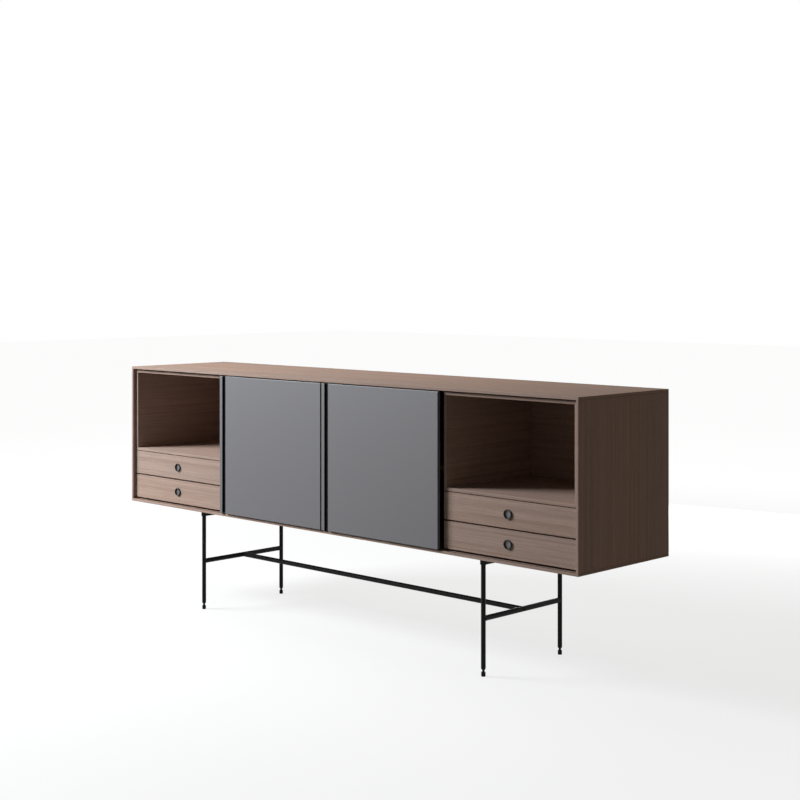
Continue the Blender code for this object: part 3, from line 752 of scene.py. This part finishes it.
def screw_tree():
    """Geometry nodes that set one screw head on every point, each turned by its own amount."""
    tree = bpy.data.node_groups.new("screw_row", "GeometryNodeTree")
    face = tree.interface
    face.new_socket("Places", in_out="INPUT", socket_type="NodeSocketGeometry")
    face.new_socket("Screw", in_out="INPUT", socket_type="NodeSocketObject")
    face.new_socket("Size", in_out="INPUT", socket_type="NodeSocketFloat")
    face.new_socket("Tilt", in_out="INPUT", socket_type="NodeSocketRotation")
    face.new_socket("Finish", in_out="INPUT", socket_type="NodeSocketMaterial")
    face.new_socket("Seed", in_out="INPUT", socket_type="NodeSocketInt")
    face.new_socket("Screws", in_out="OUTPUT", socket_type="NodeSocketGeometry")
    given = tree.nodes.new("NodeGroupInput").outputs
    screw = add(tree, "GeometryNodeObjectInfo", {"Object": given["Screw"]})
    spin = add(
        tree, "FunctionNodeRandomValue", {2: 0.0, 3: math.pi, "Seed": given["Seed"]}, data_type="FLOAT"
    )
    about = add(tree, "ShaderNodeCombineXYZ", {"Z": spin.outputs[1]})
    turned = add(
        tree, "FunctionNodeRotateRotation", {"Rotation": given["Tilt"], "Rotate By": about.outputs[0]},
        rotation_space="LOCAL",
    )
    rows = add(
        tree, "GeometryNodeInstanceOnPoints",
        {
            "Points": given["Places"], "Instance": screw.outputs["Geometry"], "Rotation": turned.outputs[0],
            "Scale": given["Size"],
        },
    )
    real = add(tree, "GeometryNodeRealizeInstances", {"Geometry": rows.outputs["Instances"]})
    coated = add(
        tree, "GeometryNodeSetMaterial", {"Geometry": real.outputs[0], "Material": given["Finish"]}
    )
    add(tree, "NodeGroupOutput", {"Screws": coated.outputs[0]})
    return tree


def set_screws(tree, head, name, places, tilt, body, size=1.0, replaced=()):
    """Screws at the places, tilt being the turn from +Z to the way that their heads face."""
    mesh = bpy.data.meshes.new(name)
    mesh.from_pydata(places, [], [])
    piece = bpy.data.objects.new(name, mesh)
    bpy.context.scene.collection.objects.link(piece)
    rows = piece.modifiers.new("screws", "NODES")
    rows.node_group = tree
    values = {"Screw": head, "Size": size, "Tilt": tilt, "Finish": zinc, "Seed": len(places)}
    for socket in tree.interface.items_tree:
        if socket.in_out == "INPUT" and socket.name in values:
            rows[socket.identifier] = values[socket.name]
    graph = bpy.context.evaluated_depsgraph_get()
    made = bpy.data.meshes.new_from_object(piece.evaluated_get(graph))
    made.name = name
    bpy.data.objects.remove(piece)
    piece = make_object(name, made, zinc)
    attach(piece, body)
    if replaced:
        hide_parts(*replaced)


BACK_SCREW_INSET = 0.030
BACK_SCREW_ROWS = 3
BOX_BASE_RISE = 0.013
BOX_SCREW_INSET = 0.055
BOX_SCREW_RISE = 0.016
BOX_SCREW_SIZE = 0.9
SCREW_SEAT = 0.0001
FACING_BACK = (-math.pi / 2, 0.0, 0.0)
FACING_DOWN = (math.pi, 0.0, 0.0)


def build_screws():
    """The screws of the back, of the leg frames and of the drawer fronts."""
    tree = screw_tree()
    head = make_object("screw_pattern", screw_head(), zinc)
    low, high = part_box("back_panel")
    uprights = [centre("centre_divider").x]
    for name, side in SIDES.items():
        inner_low, inner_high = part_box(f"{name}_unit_inner_wall")
        top_low, top_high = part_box(f"{name}_unit_top")
        thickness = top_high.z - top_low.z
        near = min(abs(inner_low.x), abs(inner_high.x))
        far = max(abs(low.x), abs(high.x))
        uprights += [side * (near + thickness / 2), side * (far - thickness / 2)]
    heights = [
        low.z + BACK_SCREW_INSET + (high.z - low.z - 2 * BACK_SCREW_INSET) * row / (BACK_SCREW_ROWS - 1)
        for row in range(BACK_SCREW_ROWS)
    ]
    places = [(x, high.y + SCREW_SEAT, z) for x in uprights for z in heights]
    set_screws(tree, head, "back_screws", places, FACING_BACK, "cabinet")

    frame_nodes = [f"{end}_{name}_frame_screw" for name in SIDES for end in ENDS]
    places = []
    for node in frame_nodes:
        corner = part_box(node)[0]
        middle = centre(node)
        places.append((middle.x, middle.y, corner.z - SCREW_SEAT))
    set_screws(tree, head, "frame_screws", places, FACING_DOWN, "cabinet", replaced=frame_nodes)

    for name in SIDES:
        for level in LEVELS:
            box_low, box_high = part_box(f"{name}_{level}_drawer_box")
            places = [
                (x, box_low.y + BOX_WALL + SCREW_SEAT, z)
                for x in (box_low.x + BOX_SCREW_INSET, box_high.x - BOX_SCREW_INSET)
                for z in (box_low.z + BOX_BASE_RISE + BOX_SCREW_RISE, box_high.z - BOX_SCREW_RISE)
            ]
            drawer = f"{name}_{level}_drawer"
            set_screws(
                tree, head, f"{name}_{level}_front_screws", places, FACING_BACK, drawer, BOX_SCREW_SIZE
            )
    bpy.data.objects.remove(head)


# Floor, light and camera

FLOOR_SIZE = 40.0
FLOOR_GREY = 0.24
FLOOR_ROUGHNESS = 0.9

# The lift of the floor towards white, near and far, and the distances in metres between which it grows
NEAR_LIFT = 0.74
FAR_LIFT = 0.95
LIFT_REACH = (1.4, 4.5)

WORLD_FILL = 0.085
FILL_TINT = (1.0, 0.92, 0.84, 1.0)

# Each light's name, place, aim, size, power in watts and colour
LIGHTS = (
    ("key", (-2.5, -2.15, 2.3), (-0.2, 0.0, 0.5), (1.4, 1.2), 196.0, (0.97, 1.0, 1.04)),
    ("back", (-0.7, 3.2, 0.45), (0.0, 0.2, 0.5), (2.4, 0.7), 45.0, (1.0, 1.0, 1.0)),
    ("side", (3.8, 1.0, 1.0), (1.0, 0.0, 0.6), (1.4, 1.2), 6.0, (1.0, 0.84, 0.70)),
    ("overhead", (-0.5, 0.35, 2.9), (-0.2, 0.2, 0.0), (1.8, 1.4), 20.0, (1.0, 1.0, 1.0)),
)


def seen_directly(tree):
    """1 for rays from the camera or a glossy surface, which see the white surroundings; 0 for the others."""
    path = add(tree, "ShaderNodeLightPath")
    kinds = {0: path.outputs["Is Camera Ray"], 1: path.outputs["Is Glossy Ray"]}
    return add(tree, "ShaderNodeMath", kinds, operation="MAXIMUM").outputs[0]


def build_floor():
    """A matt floor that takes the shadow. Seen directly it is lifted towards white, more so far away."""
    shape = bmesh.new()
    bmesh.ops.create_grid(shape, x_segments=1, y_segments=1, size=FLOOR_SIZE / 2)
    floor = bpy.data.objects.new("floor", mesh_from(shape, "floor"))
    bpy.context.scene.collection.objects.link(floor)
    material, tree, shader = new_material("pale_floor", FLOOR_ROUGHNESS, specular=0.0)
    shader.inputs["Base Color"].default_value = grey(FLOOR_GREY)
    place = add(tree, "ShaderNodeTexCoord").outputs["Object"]
    distance = add(tree, "ShaderNodeVectorMath", {0: place}, operation="LENGTH").outputs["Value"]
    spread = add(
        tree, "ShaderNodeMapRange",
        {
            "Value": distance, "From Min": LIFT_REACH[0], "From Max": LIFT_REACH[1], "To Min": NEAR_LIFT,
            "To Max": FAR_LIFT,
        },
        interpolation_type="SMOOTHSTEP",
    )
    lift = add(tree, "ShaderNodeMath", {0: seen_directly(tree), 1: spread.outputs[0]}, operation="MULTIPLY")
    shader.inputs["Emission Color"].default_value = grey(1.0)
    tree.links.new(lift.outputs[0], shader.inputs["Emission Strength"])
    floor.data.materials.append(material)


def build_world():
    """White where it is seen directly, and a weak warm fill otherwise."""
    world = bpy.data.worlds.new("studio")
    bpy.context.scene.world = world
    world.use_nodes = True
    tree = world.node_tree
    tree.nodes.clear()
    fill = add(tree, "ShaderNodeBackground", {"Color": FILL_TINT, "Strength": WORLD_FILL})
    white = add(tree, "ShaderNodeBackground", {"Color": grey(1.0), "Strength": 1.0})
    mix = add(tree, "ShaderNodeMixShader", {0: seen_directly(tree), 1: fill.outputs[0], 2: white.outputs[0]})
    add(tree, "ShaderNodeOutputWorld", {"Surface": mix.outputs[0]})


def build_lights():
    """Large soft lights, each turned to its aim."""
    for name, place, aim, size, power, colour in LIGHTS:
        data = bpy.data.lights.new(name, "AREA")
        data.shape = "RECTANGLE"
        data.size, data.size_y = size
        data.energy = power
        data.color = colour
        light = bpy.data.objects.new(name, data)
        bpy.context.scene.collection.objects.link(light)
        light.location = place
        light.rotation_euler = (Vector(aim) - Vector(place)).to_track_quat("-Z", "Y").to_euler()


def build_camera():
    """The camera at the photograph's angle, with its crop as a shift."""
    data = bpy.data.cameras.new("camera")
    camera = bpy.data.objects.new("camera", data)
    bpy.context.scene.collection.objects.link(camera)
    camera.location = CAMERA_PLACE
    camera.rotation_euler = (math.pi / 2, 0.0, math.radians(CAMERA_YAW))
    data.sensor_width = SENSOR_WIDTH
    data.lens = FOCAL_PIXELS * SENSOR_WIDTH / FRAME_PIXELS
    data.shift_x = (FRAME_PIXELS / 2 - CENTRE_PIXEL[0]) / FRAME_PIXELS
    data.shift_y = (CENTRE_PIXEL[1] - FRAME_PIXELS / 2) / FRAME_PIXELS
    bpy.context.scene.camera = camera


finish_wood()
finish_doors()
build_base()
build_feet()
build_ring_pulls()
build_screws()
build_floor()
build_world()
build_lights()
build_camera()
bpy.context.scene.view_settings.view_transform = "Standard"
